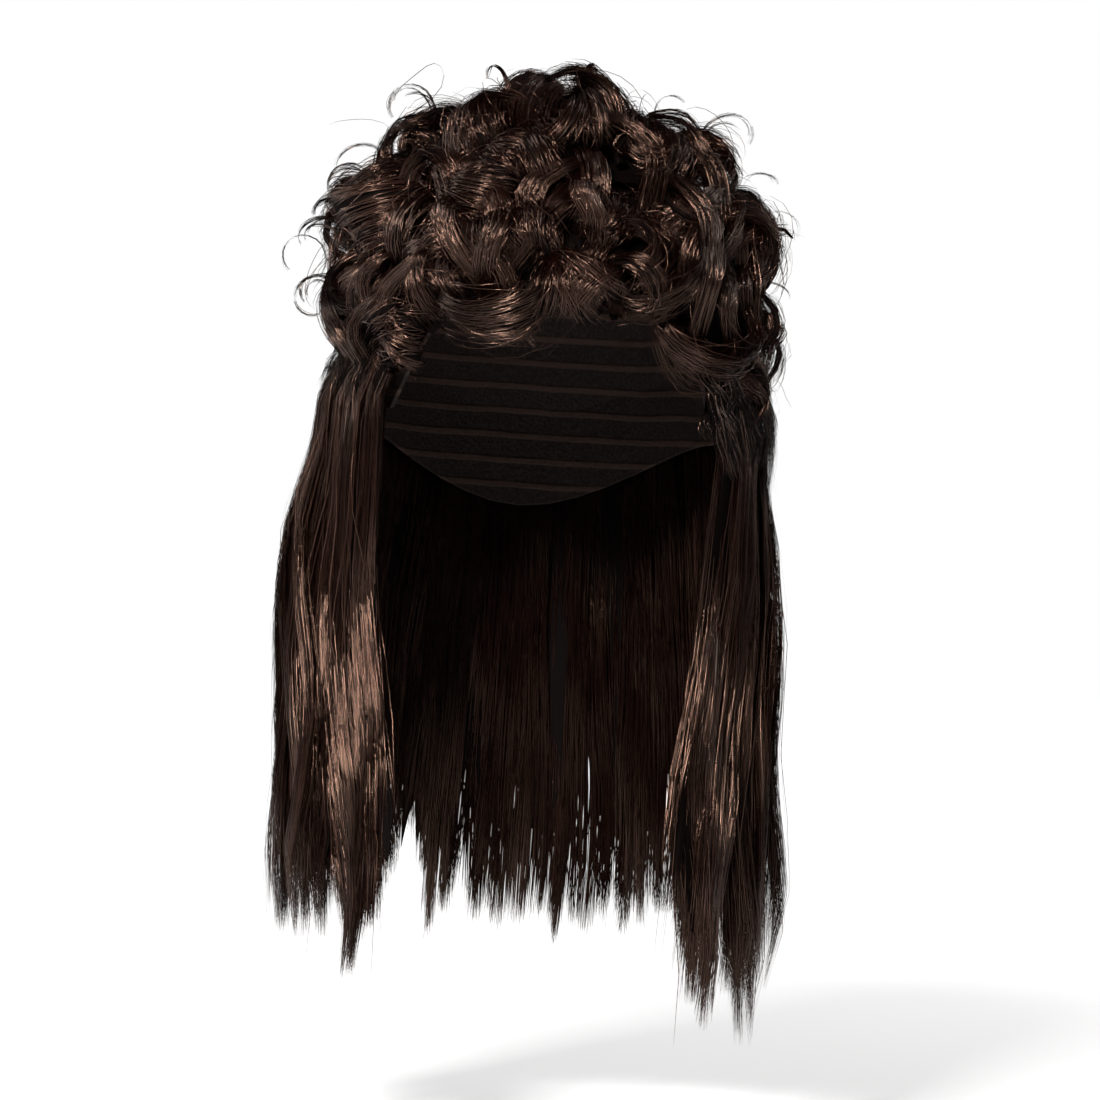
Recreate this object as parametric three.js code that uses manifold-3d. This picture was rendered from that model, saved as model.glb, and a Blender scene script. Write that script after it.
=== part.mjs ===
// A mullet wig: a stretch cap that carries short curls over the crown and long straight hair round the
// sides and back. Millimetres, +Z up. The face looks along -Y, and left and right are the wearer's, so left
// is +X. The origin is inside the cap, where the top of the head bears on it.
import * as THREE from "three";
import { mergeVertices } from "three/addons/utils/BufferGeometryUtils.js";
import Module from "manifold-3d";

const wasm = await Module();
wasm.setup();

// Head that the cap fits: half widths, and heights from its widest level to the crown and towards the nape
const HEAD = { halfBreadth: 77, halfLength: 98, crown: 95, nape: 150 };

// Layers on the head, measured outwards. The cap's facets give the hair on it the same facets underneath.
// Curls grow out of a bed of hair, this share of which is left at its lower edge. No hair reaches into the
// head, to the depth given.
const CAP_WALL = 2;
const CAP_FACETS = { columns: 36, rows: 7 };
const GAP = 0.4;
const BED_IN = CAP_WALL + GAP;
const HEAD_DEPTH = 60;
const BED_HEM = 0.45;

// Lower edge of the cap: degrees round the head from the forehead, and degrees down from the crown
const CAP_RIM = [
  { around: 0, down: 66 },
  { around: 35, down: 70 },
  { around: 60, down: 96 },
  { around: 105, down: 98 },
  { around: 180, down: 110 },
];

// Lower edge of the curls' bed, which runs lower on the wearer's left
const BED_EDGE = [
  { around: -180, down: 80 },
  { around: -125, down: 82 },
  { around: -60, down: 84 },
  { around: 60, down: 91 },
  { around: 125, down: 84 },
  { around: 180, down: 80 },
];

// Zones of curls, in the order in which they lie on each other, and the thickness of each one's bed of hair
const TOP_EDGE = 42;
const FRINGE_EDGE = 52;
const BACK_EDGE = 125;
const SEAM = 0.3;
const ZONES = [
  { name: "fringe_curls", from: -FRINGE_EDGE, to: FRINGE_EDGE, bed: 15, columns: 9, rows: 3 },
  { name: "right_curls", from: -BACK_EDGE, to: -FRINGE_EDGE, bed: 14, columns: 6, rows: 3 },
  { name: "left_curls", from: FRINGE_EDGE, to: BACK_EDGE, bed: 14, columns: 6, rows: 3 },
  { name: "top_curls", from: -180, to: 180, bed: 20, columns: 16, rows: 3 },
  { name: "back_curls", from: BACK_EDGE, to: 360 - BACK_EDGE, bed: 16, columns: 8, rows: 3 },
];

// Curls that face forwards, one by one: where each lies on the head, its size, how far its crest stands off
// the scalp, and how its axis is turned. A curl of lean 0 rolls over and down, and lean turns its axis in
// the scalp's plane. Tilt raises the axis off the scalp, so that the curl shows its open end as a swirl.
const FRONT_COLUMNS = ["zone", "around", "down", "radius", "width", "rise", "lean", "tilt"];
const FRONT_CURLS = [
  ["fringe_curls", -46, 80, 15, 26, 27, -45, -15],
  ["fringe_curls", -34, 70, 17, 28, 31, 25, 20],
  ["fringe_curls", -16, 70, 27, 18, 33, 100, 55],
  ["fringe_curls", -12, 60, 16, 26, 36, 10, 10],
  ["fringe_curls", 4, 72, 17, 16, 31, 0, 5],
  ["fringe_curls", 16, 70, 14, 18, 29, -15, -10],
  ["fringe_curls", 23, 64, 28, 18, 36, -10, -58],
  ["fringe_curls", 50, 78, 26, 20, 30, 130, 55],
  ["fringe_curls", -48, 62, 21, 34, 36, -40, -20],
  ["fringe_curls", -30, 55, 17, 28, 37, 75, 20],
  ["fringe_curls", 5, 55, 15, 24, 37, -20, -15],
  ["fringe_curls", -42, 45, 19, 28, 39, 70, -30],
  ["fringe_curls", -20, 46, 18, 30, 39, 45, 10],
  ["fringe_curls", 37, 51, 17, 28, 39, -35, -30],
  ["top_curls", 2, 32, 18, 30, 44, 10, 10],
  ["top_curls", 28, 36, 18, 28, 46, -20, -15],
  ["top_curls", 56, 40, 21, 18, 47, -20, -50],
  ["top_curls", -40, 32, 18, 30, 47, 30, 20],
];

// Rings of curls on the rest of the head, with a lean for each curl and tilts to either side by turns
const RING_COLUMNS = ["zone", "down", "from", "to", "radius", "width", "rise", "tilt", "leans"];
const CURL_RINGS = [
  ["right_curls", 56, -70, -112, 21, 36, 48, 30, [-40, 30, -25]],
  ["right_curls", 74, -64, -115, 17, 34, 31, 25, [-35, 20, -30, 15]],
  ["left_curls", 56, 70, 112, 20, 36, 46, 30, [40, -30, 25]],
  ["left_curls", 74, 68, 115, 17, 34, 32, 25, [20, -30, 15]],
  ["left_curls", 88, 66, 92, 13, 30, 28, 20, [25, -20]],
  ["top_curls", 34, 78, 280, 20, 40, 49, 28, [10, -35, 30, -15, 35, -30]],
  ["top_curls", 9, -120, 120, 19, 38, 45, 20, [20, -35, 40]],
  ["back_curls", 53, 141, 219, 19, 40, 41, 28, [30, -25, 35, -30]],
  ["back_curls", 72, 136, 224, 16, 40, 33, 25, [-25, 30, -35, 20]],
  ["left_curls", 97, 60, 84, 15, 30, 23, 15, [30, -15]],
];
const CURL = { thickness: 8.5, turn: 300, tipRadius: 0.55, crest: 0.85, drift: 5, rings: 7, sides: 5 };
const JITTER = { around: 3, down: 2, radius: 0.08, turn: 30 };

// Long hair: the inside of the hanging hair at each height, how much further out it is on the wearer's left
// than in the middle, how far round it swings towards the face, and the panels that it falls in
const DRAPE = [
  { height: -76, side: 79.6, flare: 0, back: 100.6, front: 100.6, swing: 0 },
  { height: -110, side: 88.5, flare: 0, back: 99, front: 98, swing: 0 },
  { height: -205, side: 97.5, flare: -1.5, back: 92, front: 74, swing: 9 },
  { height: -290, side: 99.5, flare: 3, back: 93, front: 100, swing: 17 },
  { height: -365, side: 106, flare: 5, back: 100, front: 104, swing: 15 },
];
const FACE_EDGE = 52;
const PANELS = [
  { name: "right_side_length", from: -100, to: -FACE_EDGE, locks: 3, tip: -350, notch: 30 },
  { name: "right_back_length", from: -143, to: -101, locks: 3, tip: -345, notch: 24 },
  { name: "back_length", from: 144, to: 216, locks: 5, tip: -352, notch: 22 },
  { name: "left_back_length", from: 101, to: 143, locks: 3, tip: -350, notch: 24 },
  { name: "left_side_length", from: FACE_EDGE, to: 100, locks: 3, tip: -370, notch: 30 },
];
const LOCK = { thickness: 11, groove: 0.6, edge: 0.35, even: 0.8, raggedness: 9 };
const LOCK_TAPER = [
  { along: 0, thickness: 0.5 },
  { along: 0.16, thickness: 0.9 },
  { along: 0.45, thickness: 1 },
  { along: 0.72, thickness: 0.95 },
  { along: 0.9, thickness: 0.7 },
  { along: 1, thickness: 0.2 },
];

const HAIR = new THREE.MeshStandardMaterial({ color: 0x2b1d17, roughness: 0.45, metalness: 0 });
const NET = new THREE.MeshStandardMaterial({ color: 0x16110f, roughness: 0.9, metalness: 0 });
const DEGREE = Math.PI / 180;

// Numbers

function mix(a, b, share) {
  return a + (b - a) * share;
}

// A column of a table at a key, eased between its rows
function fromTable(rows, key, column, at) {
  const climbs = rows[rows.length - 1][key] > rows[0][key];
  const next = rows.findIndex((row) => (climbs ? row[key] >= at : row[key] <= at));
  if (next < 0) return rows[rows.length - 1][column];
  if (next === 0) return rows[0][column];
  const [low, high] = [rows[next - 1], rows[next]];
  const share = (at - low[key]) / (high[key] - low[key]);
  return mix(low[column], high[column], share * share * (3 - 2 * share));
}

// A steady number from -1 to 1 for each seed
function wobble(seed) {
  const scrambled = Math.sin(seed * 78.233) * 43758.5453;
  return 2 * (scrambled - Math.floor(scrambled)) - 1;
}

// Head

function headPoint(around, down, out) {
  const a = around * DEGREE;
  const d = down * DEGREE;
  const height = down <= 90 ? HEAD.crown : HEAD.nape;
  return new THREE.Vector3(
    (HEAD.halfBreadth + out) * Math.sin(d) * Math.sin(a),
    -(HEAD.halfLength + out) * Math.sin(d) * Math.cos(a),
    (height + out) * Math.cos(d) - HEAD.crown,
  );
}

// Unit vectors on the head: out of it, round it and up towards the crown
function headFrame(around, down) {
  const a = around * DEGREE;
  const d = down * DEGREE;
  const height = down <= 90 ? HEAD.crown : HEAD.nape;
  const out = new THREE.Vector3(
    (Math.sin(d) * Math.sin(a)) / HEAD.halfBreadth,
    (-Math.sin(d) * Math.cos(a)) / HEAD.halfLength,
    Math.cos(d) / height,
  ).normalize();
  const east = new THREE.Vector3(
    HEAD.halfBreadth * Math.cos(a),
    HEAD.halfLength * Math.sin(a),
    0,
  ).normalize();
  const north = new THREE.Vector3().crossVectors(out, east);
  return { out, east, north };
}

function rimDown(around) {
  const turned = Math.abs(((around + 540) % 360) - 180);
  return fromTable(CAP_RIM, "around", "down", turned);
}

function bedEdgeDown(around) {
  const turned = ((around + 540) % 360) - 180;
  const edge = fromTable(BED_EDGE, "around", "down", turned);
  return Math.min(edge, rimDown(around) - SEAM);
}

// Solids

function geometryOf(points, triangles) {
  const geometry = new THREE.BufferGeometry().setFromPoints(points);
  geometry.setIndex(triangles);
  return geometry;
}

// A closed geometry as a solid, with shared corners merged and flat triangles dropped
function solidOf(geometry) {
  const merged = mergeVertices(geometry, 1e-4);
  const corners = merged.index.array;
  const kept = [];
  for (let i = 0; i < corners.length; i += 3) {
    const [a, b, c] = corners.slice(i, i + 3);
    if (a !== b && b !== c && c !== a) kept.push(a, b, c);
  }
  return new wasm.Manifold(
    new wasm.Mesh({
      numProp: 3,
      vertProperties: merged.attributes.position.array,
      triVerts: new Uint32Array(kept),
    }),
  );
}

function joined(solids) {
  return solids.reduce((whole, solid) => whole.add(solid));
}

// A curved wall between an inner and an outer sheet. pointAt takes shares of the way round and down, and
// 0 or 1 for the sheet. A closed wall meets itself all the way round and has a pole at its first row.
function wall(columns, rows, closed, pointAt) {
  const points = [];
  const triangles = [];
  const index = (sheet, row, column) => (sheet * (rows + 1) + row) * (columns + 1) + column;
  for (const sheet of [0, 1]) {
    for (let row = 0; row <= rows; row++) {
      for (let column = 0; column <= columns; column++) {
        const turn = closed && column === columns ? 0 : column / columns;
        points.push(pointAt(turn, row / rows, sheet));
      }
    }
  }
  const quad = (a, b, c, d) => triangles.push(a, b, c, a, c, d);
  for (let row = 0; row < rows; row++) {
    for (let column = 0; column < columns; column++) {
      const corner = (sheet, r, c) => index(sheet, row + r, column + c);
      quad(corner(1, 0, 0), corner(1, 1, 0), corner(1, 1, 1), corner(1, 0, 1));
      quad(corner(0, 0, 0), corner(0, 0, 1), corner(0, 1, 1), corner(0, 1, 0));
    }
  }
  for (let column = 0; column < columns; column++) {
    const rim = (sheet, row, step) => index(sheet, row, column + step);
    quad(rim(0, rows, 0), rim(0, rows, 1), rim(1, rows, 1), rim(1, rows, 0));
    if (!closed) quad(rim(0, 0, 1), rim(0, 0, 0), rim(1, 0, 0), rim(1, 0, 1));
  }
  for (let row = 0; row < rows && !closed; row++) {
    const side = (sheet, step, column) => index(sheet, row + step, column);
    quad(side(0, 0, 0), side(0, 1, 0), side(1, 1, 0), side(1, 0, 0));
    quad(side(0, 1, columns), side(0, 0, columns), side(1, 0, columns), side(1, 1, columns));
  }
  return solidOf(geometryOf(points, triangles));
}

// A lock of hair: oval sections along a path. frameAt gives a section's centre, the directions of its
// width and thickness, and the half of each.
function lock(stations, sides, frameAt) {
  const points = [];
  const triangles = [];
  for (const station of stations) {
    const { centre, across, out, halfWidth, halfThickness } = frameAt(station);
    for (let side = 0; side < sides; side++) {
      const angle = (2 * Math.PI * side) / sides;
      const point = centre.clone();
      point.addScaledVector(across, halfWidth * Math.cos(angle));
      point.addScaledVector(out, halfThickness * Math.sin(angle));
      points.push(point);
    }
  }
  for (let ring = 0; ring < stations.length - 1; ring++) {
    for (let side = 0; side < sides; side++) {
      const a = ring * sides + side;
      const b = ring * sides + ((side + 1) % sides);
      triangles.push(a, b, b + sides, a, b + sides, a + sides);
    }
  }
  const last = (stations.length - 1) * sides;
  for (let side = 1; side < sides - 1; side++) {
    triangles.push(0, side + 1, side);
    triangles.push(last, last + side, last + side + 1);
  }
  const made = solidOf(geometryOf(points, triangles));
  if (made.volume() > 0) return made;
  for (let i = 0; i < triangles.length; i += 3) {
    [triangles[i + 1], triangles[i + 2]] = [triangles[i + 2], triangles[i + 1]];
  }
  return solidOf(geometryOf(points, triangles));
}

// Cap

function makeCap() {
  return wall(CAP_FACETS.columns, CAP_FACETS.rows, true, (turn, share, sheet) => {
    const around = 360 * turn - 180;
    return headPoint(around, share * rimDown(around), sheet * CAP_WALL);
  });
}

// The room that the cap and the head take, with the cap's own facets, which run on below its edge
function makeCapRoom() {
  const rows = CAP_FACETS.rows + 1;
  return wall(CAP_FACETS.columns, rows, true, (turn, share, sheet) => {
    const around = 360 * turn - 180;
    const down = (share * rimDown(around) * rows) / CAP_FACETS.rows;
    return headPoint(around, down, sheet ? BED_IN : -HEAD_DEPTH);
  });
}

// Curls

function rowOf(columns, values) {
  return Object.fromEntries(columns.map((column, i) => [column, values[i]]));
}

// A curl with a small steady variation of its own, and the height of its middle over the scalp
function placed(curl, seed) {
  const radius = curl.radius * (1 + JITTER.radius * wobble(seed + 0.5));
  const tilt = curl.tilt * DEGREE;
  const standing = CURL.crest * radius * Math.cos(tilt) + 0.5 * curl.width * Math.abs(Math.sin(tilt));
  return {
    ...curl,
    radius,
    around: curl.around + JITTER.around * wobble(seed),
    down: curl.down + JITTER.down * wobble(seed + 0.25),
    turn: CURL.turn + JITTER.turn * wobble(seed + 0.75),
    middle: curl.rise - 0.5 * CURL.thickness - standing,
  };
}

function allCurls() {
  const front = FRONT_CURLS.map((values, i) => placed(rowOf(FRONT_COLUMNS, values), i + 1));
  const rest = CURL_RINGS.flatMap((values, number) => {
    const ring = rowOf(RING_COLUMNS, values);
    return ring.leans.map((lean, i) => {
      const around = mix(ring.from, ring.to, i / (ring.leans.length - 1));
      const tilt = i % 2 ? ring.tilt : -ring.tilt;
      return placed({ ...ring, around, lean, tilt }, 10 * number + i + 21);
    });
  });
  return [...front, ...rest];
}

// A curl winds inwards round its own axis: from its root in the bed up, out, down and under
function makeCurl(curl, grow) {
  const { out, east, north } = headFrame(curl.around, curl.down);
  const axis = new THREE.Vector3()
    .addScaledVector(east, Math.cos(curl.lean * DEGREE) * Math.cos(curl.tilt * DEGREE))
    .addScaledVector(north, Math.sin(curl.lean * DEGREE) * Math.cos(curl.tilt * DEGREE))
    .addScaledVector(out, Math.sin(curl.tilt * DEGREE));
  const toRoot = out.clone().negate();
  toRoot.addScaledVector(axis, out.dot(axis)).normalize();
  const rising = new THREE.Vector3().crossVectors(axis, toRoot);
  const middle = headPoint(curl.around, curl.down, curl.middle);
  const turn = curl.turn * DEGREE;
  const stations = Array.from({ length: CURL.rings }, (_, i) => i / (CURL.rings - 1));
  if (grow) stations.push(1 + grow / (CURL.tipRadius * curl.radius * turn));
  return lock(stations, CURL.sides, (along) => {
    const angle = along * turn;
    const spoke = new THREE.Vector3()
      .addScaledVector(toRoot, Math.cos(angle))
      .addScaledVector(rising, Math.sin(angle));
    const reach = curl.radius * mix(1, CURL.tipRadius, along * along);
    const centre = middle.clone().addScaledVector(spoke, reach);
    centre.addScaledVector(axis, CURL.drift * (along - 0.5));
    const fullness = Math.sqrt(Math.max(0.12, 1 - along ** 3));
    return {
      centre,
      across: axis,
      out: spoke,
      halfWidth: (curl.width * fullness) / 2 + grow,
      halfThickness: (CURL.thickness * fullness) / 2 + grow,
    };
  });
}

function makeBed(zone, grow) {
  const isTop = zone.name === "top_curls";
  return wall(zone.columns, zone.rows, isTop, (turn, share, sheet) => {
    const inset = isTop ? 0 : SEAM - grow;
    const around = mix(zone.from + inset, zone.to - inset, turn);
    const upper = isTop ? 0 : TOP_EDGE + SEAM - grow;
    const lower = (isTop ? TOP_EDGE - SEAM : bedEdgeDown(around)) + grow;
    const thickness = zone.bed * (share === 1 && !isTop ? BED_HEM : 1);
    return headPoint(around, mix(upper, lower, share), sheet ? BED_IN + thickness + grow : 0);
  });
}

// Hair panels

function drapePoint(around, height, out) {
  const swing = fromTable(DRAPE, "height", "swing", height);
  const turned = Math.abs(around > 180 ? 360 - around : around);
  const sign = around < 0 || around > 180 ? -1 : 1;
  const reach = (180 - turned) / (180 - FACE_EDGE);
  const a = sign * (turned - swing * reach) * DEGREE;
  const flare = fromTable(DRAPE, "height", "flare", height) * Math.sin(a);
  const side = fromTable(DRAPE, "height", "side", height) + flare + out;
  const depth = fromTable(DRAPE, "height", Math.cos(a) > 0 ? "front" : "back", height) + out;
  return new THREE.Vector3(side * Math.sin(a), -depth * Math.cos(a), height);
}

function panelTop(around) {
  const down = bedEdgeDown(around) + 2 * SEAM;
  return headPoint(around, down, BED_IN).z;
}

// A panel is an even sheet at its top, which parts downwards into locks side by side. Each lock is thick
// along its middle, thin towards the next one, and ends in a tip of its own.
function makePanel(panel, panelNumber) {
  const columns = 2 * panel.locks;
  const rows = LOCK_TAPER.length - 1;
  return wall(columns, rows, false, (turn, share, sheet) => {
    const column = Math.round(turn * columns);
    const inLock = column % 2 === 1;
    const atEdge = column === 0 || column === columns;
    const around = mix(panel.from, panel.to, turn);
    const ragged = LOCK.raggedness * wobble(100 * (panelNumber + 1) + column);
    const tip = panel.tip + ragged + (inLock ? 0 : panel.notch);
    const { along, thickness } = LOCK_TAPER[Math.round(share * rows)];
    const parted = atEdge ? LOCK.edge : inLock ? 1 : LOCK.groove;
    const fullness = mix(LOCK.even, parted, along);
    const out = sheet * LOCK.thickness * thickness * fullness;
    return drapePoint(around, mix(panelTop(around), tip, along), out);
  });
}

// Assembly

function largest(solid) {
  const bodies = solid.decompose();
  return bodies.reduce((best, body) => (body.volume() > best.volume() ? body : best));
}

function meshOf(name, solid, material) {
  const made = largest(solid).getMesh();
  const geometry = new THREE.BufferGeometry();
  const corners = new THREE.BufferAttribute(made.vertProperties, made.numProp);
  geometry.setAttribute("position", corners);
  geometry.setIndex(new THREE.BufferAttribute(made.triVerts, 1));
  geometry.computeVertexNormals();
  const mesh = new THREE.Mesh(geometry, material);
  mesh.name = name;
  return mesh;
}

const wig = new THREE.Group();
wig.name = "mullet_wig";
wig.add(meshOf("cap", makeCap(), NET));

const curls = allCurls();
const taken = [makeCapRoom()];
const clearOf = (solid) => taken.reduce((rest, cutter) => rest.subtract(cutter), solid);
for (const zone of ZONES) {
  const own = curls.filter((curl) => curl.zone === zone.name);
  const shape = (grow) => joined([makeBed(zone, grow), ...own.map((curl) => makeCurl(curl, grow))]);
  wig.add(meshOf(zone.name, clearOf(shape(0)), HAIR));
  taken.push(shape(GAP));
}

PANELS.forEach((panel, i) => {
  wig.add(meshOf(panel.name, clearOf(makePanel(panel, i)), HAIR));
});

export default wig;
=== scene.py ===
"""A mullet wig: glossy dark fibres grown in curled locks over the crown and in straight locks at the sides.
Lengths are in millimetres and angles in degrees. Meshes, lights and the floor are placed in metres.
The face looks along -Y."""

import math

import bpy
import numpy as np
from mathutils import Matrix, Vector


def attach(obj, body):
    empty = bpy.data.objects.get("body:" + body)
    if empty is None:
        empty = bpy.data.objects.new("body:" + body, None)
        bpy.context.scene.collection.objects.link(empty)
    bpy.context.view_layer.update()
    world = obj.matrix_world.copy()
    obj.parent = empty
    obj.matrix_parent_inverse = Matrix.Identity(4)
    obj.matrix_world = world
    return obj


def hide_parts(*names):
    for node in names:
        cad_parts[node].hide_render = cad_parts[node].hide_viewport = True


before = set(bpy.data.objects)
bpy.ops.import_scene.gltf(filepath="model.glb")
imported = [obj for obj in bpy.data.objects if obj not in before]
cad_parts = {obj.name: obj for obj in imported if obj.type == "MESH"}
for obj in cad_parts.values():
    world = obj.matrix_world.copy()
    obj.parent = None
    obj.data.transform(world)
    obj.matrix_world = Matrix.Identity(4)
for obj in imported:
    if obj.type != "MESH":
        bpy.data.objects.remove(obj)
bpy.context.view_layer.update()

MM = 0.001
TINY = 1e-9

# Chance, which each piece starts again from a seed of its own
rng = np.random.default_rng(0)

# Head that the cap fits, and the layers on it
HEAD = {"half_breadth": 77, "half_length": 98, "crown": 95, "nape": 150}
BED_IN = 2.4
BED_HEM = 0.45
SEAM = 0.3
TOP_EDGE = 42
FRINGE_EDGE = 52
BACK_EDGE = 125
CAP_RIM = [
    {"around": 0, "down": 66},
    {"around": 35, "down": 70},
    {"around": 60, "down": 96},
    {"around": 105, "down": 98},
    {"around": 180, "down": 110},
]
BED_EDGE = [
    {"around": -180, "down": 80},
    {"around": -125, "down": 82},
    {"around": -60, "down": 84},
    {"around": 60, "down": 91},
    {"around": 125, "down": 84},
    {"around": 180, "down": 80},
]

# Zones of curls: each one's bed of hair, the number of waves on it, their share of the curls' height and
# how fast they fall below the bed's edge, the fibres in a lock of a curl, and the seed of its chance
ZONE_COLUMNS = ("name", "from", "to", "bed", "waves", "lift", "fall", "fibres", "seed")
ZONE_ROWS = [
    ("fringe_curls", -FRINGE_EDGE, FRINGE_EDGE, 15, 14, 0.7, 0.1, 84, 8122),
    ("right_curls", -BACK_EDGE, -FRINGE_EDGE, 14, 16, 0.7, 0.5, 84, 2),
    ("left_curls", FRINGE_EDGE, BACK_EDGE, 14, 16, 0.7, 0.5, 84, 3),
    ("top_curls", -180, 180, 20, 16, 0.79, 0.5, 84, 4),
    ("back_curls", BACK_EDGE, 360 - BACK_EDGE, 16, 12, 0.7, 0.5, 62, 5),
]
ZONES = {values[0]: dict(zip(ZONE_COLUMNS, values)) for values in ZONE_ROWS}

# Dark bed under the curls: a sheet of painted shade
BED = {"columns": 48, "rows": 12, "fill": 0.75, "first_row": 0.02, "lap": 1, "hem_from": 0.66}
BED_RIPPLE = {"size": 0.08, "around": 0.9, "down": 9}

# Loose waves on the bed, whose place, width and swing are in degrees over the head
WAVE = {
    "fibres": 74,
    "margin": 2,
    "crown": 4,
    "early": 6,
    "late": 10,
    "length": (18, 30),
    "lean": (-16, 16),
    "swings": (0.6, 1.2),
    "swing": (1, 5),
    "to_middle": 8,
    "narrowest": 0.35,
    "width": 3.2,
    "wander_aside": 0.3,
    "reach": (0.85, 1),
    "arches": (0.9, 1.8),
    "arch": (3, 9),
    "sink": 4,
    "depth": 2.4,
    "wander_out": 0.45,
    "roll": 20,
    "half_width": (0.14, 0.28),
    "tone": (0.25, 0.65),
    "tone_spread": 0.14,
}

# Height of the curls over the scalp, by degrees down from the crown
CURL_HEIGHT = [
    {"down": 0, "height": 42},
    {"down": 35, "height": 43},
    {"down": 56, "height": 41},
    {"down": 66, "height": 34},
    {"down": 76, "height": 29},
    {"down": 92, "height": 24},
]

# Curls that face forwards, one by one, and rings of curls on the rest of the head
FRONT_COLUMNS = ("zone", "around", "down", "radius", "width", "rise", "lean", "tilt")
FRONT_CURLS = [
    ("fringe_curls", -46, 80, 15, 26, 27, 80, 10),
    ("fringe_curls", -34, 70, 17, 28, 31, 25, 20),
    ("fringe_curls", -16, 70, 27, 18, 33, 100, 55),
    ("fringe_curls", -12, 60, 16, 26, 36, 10, 10),
    ("fringe_curls", 4, 72, 17, 16, 31, 0, 5),
    ("fringe_curls", 16, 70, 14, 18, 29, -15, -10),
    ("fringe_curls", 23, 64, 28, 18, 36, -10, -58),
    ("fringe_curls", 50, 78, 26, 20, 30, 130, 55),
    ("fringe_curls", -48, 62, 21, 34, 36, -40, -20),
    ("fringe_curls", -30, 55, 17, 28, 37, 75, 20),
    ("fringe_curls", 5, 55, 15, 24, 37, -20, -15),
    ("fringe_curls", -42, 45, 19, 28, 39, 70, -30),
    ("fringe_curls", -20, 46, 18, 30, 39, 45, 10),
    ("fringe_curls", 37, 51, 17, 28, 39, -35, -30),
    ("top_curls", 2, 32, 18, 30, 44, 10, 10),
    ("top_curls", 28, 36, 18, 28, 46, -20, -15),
    ("top_curls", 56, 40, 21, 18, 47, -20, -50),
    ("top_curls", -40, 32, 18, 30, 47, 30, 20),
]
RING_COLUMNS = ("zone", "down", "from", "to", "radius", "width", "rise", "tilt", "leans")
CURL_RINGS = [
    ("right_curls", 56, -70, -112, 21, 36, 48, 30, (-40, 30, -25)),
    ("right_curls", 74, -64, -115, 17, 34, 31, 25, (-35, 20, -30, 15)),
    ("left_curls", 56, 70, 112, 20, 36, 46, 30, (40, -30, 25)),
    ("left_curls", 74, 68, 115, 17, 34, 32, 25, (20, -30, 15)),
    ("left_curls", 88, 66, 92, 13, 30, 28, 20, (25, -20)),
    ("top_curls", 34, 78, 280, 20, 40, 49, 28, (10, -35, 30, -15, 35, -30)),
    ("top_curls", 9, -120, 120, 19, 38, 45, 20, (20, -35, 40)),
    ("back_curls", 53, 141, 219, 19, 40, 41, 28, (30, -25, 35, -30)),
    ("back_curls", 72, 136, 224, 16, 40, 33, 25, (-25, 30, -35, 20)),
]
CURL = {"thickness": 8.5, "turn": 300, "tip_radius": 0.55, "crest": 0.85, "swell": 0.07, "swells": 1.2}
JITTER = {"around": 3, "down": 2, "radius": 0.08, "turn": 30}
RING_SEED = 21
SEEDS_PER_RING = 10
SEEDS_PER_PANEL = 100
WOBBLE = {"pitch": 78.233, "size": 43758.5453}

# Locks of a curl: they lie side by side in a roll, and make a swirl in a curl that is tilted far
LOCKS_PER_CURL = 6
SWIRL_TILT = 40
ROLL = {"packing": 0.9, "drift": 28, "lean": 20, "tilt": 15, "sizes": (0.6, 1.15)}
SWIRL = {"packing": 0.5, "drift": 14, "lean": 9, "tilt": 7, "middle_size": 0.68, "growth": 0.75}
LOCK = {
    "aside": 2,
    "start": (-45, 45),
    "turn": (-110, 50),
    "half_width": (3, 7.5),
    "half_thickness": (0.4, 0.8),
    "tone": (0.2, 0.75),
}
# Cores of the locks, dark sheets of painted shade inside them
CORE = {"sides": 5, "fill": 0.65, "bluntness": 2.6, "least": 0.08}

# Fibres of a lock, with places along it as shares
LOCK_FIBRE = {
    "length": (0.6, 1.0),
    "strays": 0.2,
    "straying": 4.0,
    "root_play": 0.35,
    "wander": 0.45,
    "root_width": 0.6,
    "full_width_at": 0.3,
    "opens_from": 0.45,
    "splay": (0.4, 2.1),
    "slant": 4,
    "slant_about": 0.4,
    "root_depth": 6,
    "root_to": 0.18,
    "roll": 10,
    "twist": 12,
    "half_width": (0.13, 0.27),
    "tone_spread": 0.12,
}

# Thin wisps that loop out of the curls: where each one's middle is over the scalp, and its size and axis
WISP_COLUMNS = ("zone", "around", "down", "middle", "radius", "lean", "tilt", "turn", "strands")
WISPS = [
    ("right_curls", -86, 61, 35, 14, 5, 0, 200, 8),
    ("right_curls", -90, 65, 34, 13, 15, 5, 190, 6),
    ("right_curls", -80, 55, 37, 15, -15, 0, 210, 4),
    ("right_curls", -100, 50, 38, 15, 0, -10, 210, 2),
    ("right_curls", -88, 70, 38, 12, 0, 0, 230, 1),
    ("right_curls", -86, 76, 26, 12, 20, 0, 250, 3),
    ("left_curls", 90, 58, 38, 13, 0, 0, 240, 2),
    ("left_curls", 84, 50, 40, 12, 10, 10, 220, 2),
    ("left_curls", 92, 70, 28, 11, -10, 0, 220, 1),
    ("left_curls", 86, 84, 22, 9, 0, 10, 230, 1),
    ("top_curls", 80, 38, 42, 14, 0, 0, 260, 3),
    ("top_curls", 100, 27, 40, 13, 15, 0, 230, 1),
    ("top_curls", -75, 36, 42, 13, 0, 0, 220, 3),
    ("top_curls", -60, 18, 38, 11, 30, 0, 240, 1),
    ("top_curls", 30, 10, 38, 10, -30, 0, 230, 1),
    ("top_curls", 160, 14, 38, 12, 60, 0, 230, 1),
    ("back_curls", 165, 55, 36, 13, 10, 0, 230, 1),
    ("back_curls", 200, 64, 32, 12, -15, 0, 230, 1),
]
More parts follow.
